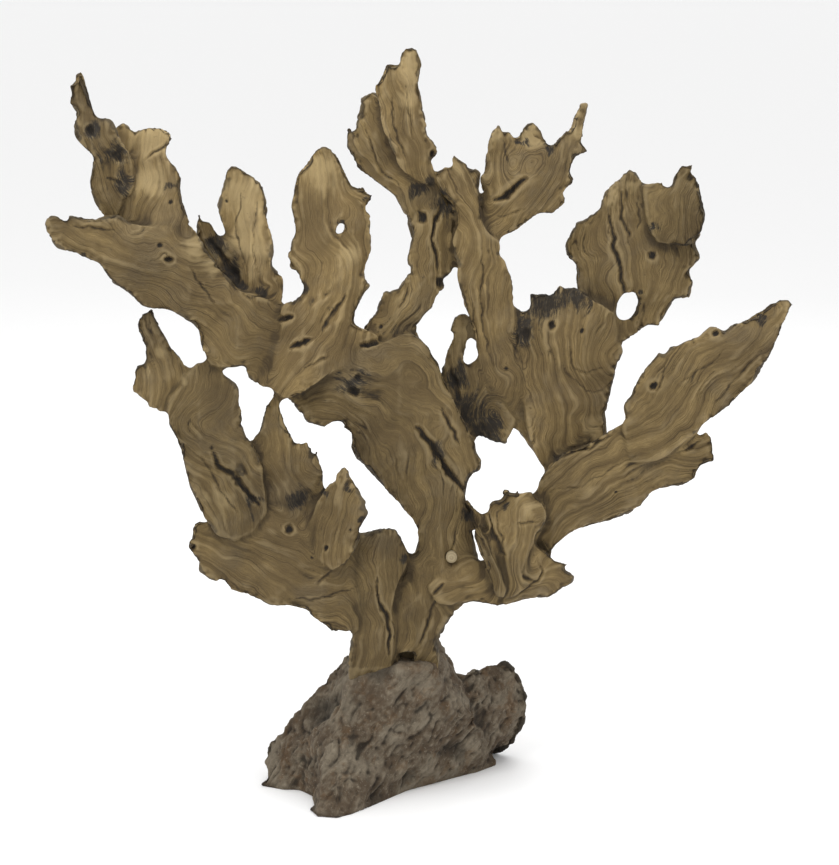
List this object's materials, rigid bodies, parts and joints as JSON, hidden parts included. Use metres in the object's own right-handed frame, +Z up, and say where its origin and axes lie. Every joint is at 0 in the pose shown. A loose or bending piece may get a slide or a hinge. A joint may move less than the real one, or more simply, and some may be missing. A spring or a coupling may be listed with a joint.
{
  "type": "driftwood branch sculpture",
  "caption": "Weathered root-wood slabs that fork and spread like branching coral, standing on a rough dark burl with a flat underside.",
  "frame": {"origin": "on the burl's flat underside, below where the trunk enters it", "axes": "+Z up, along the greatest height; +X to the right seen from the front; +Y from front to back, the least extent"},
  "size_m": [0.8434, 0.232, 0.8778],
  "materials": {
    "slab_wood": "matt weathered figured wood",
    "burl_wood": "rough dark burl",
    "plug_wood": "pale matt end grain"
  },
  "bodies": {
    "root": {"trunk": "slab_wood", "foot_slab": "slab_wood", "lower_left_arm": "slab_wood", "lower_inner_fin": "slab_wood", "lower_middle_fin": "slab_wood", "lower_outer_fin": "slab_wood", "left_prong": "slab_wood", "tall_fin": "slab_wood", "upper_left_arm": "slab_wood", "small_fin": "slab_wood", "fin_splinter": "slab_wood", "antler_plate": "slab_wood", "antler": "slab_wood", "neck": "slab_wood", "long_blade": "slab_wood", "top_fin": "slab_wood", "top_fin_wing": "slab_wood", "top_right_fin": "slab_wood", "wide_slab": "slab_wood", "right_fan": "slab_wood", "fan_flake": "slab_wood", "right_arm": "slab_wood", "right_blade": "slab_wood", "right_peg": "slab_wood", "knot_upper": "slab_wood", "knot_lower": "slab_wood", "splinter_front": "slab_wood", "splinter_rear": "slab_wood", "inner_fork": "slab_wood", "burl_base": "burl_wood", "dowel_plug": "plug_wood"}
  },
  "joints": []
}
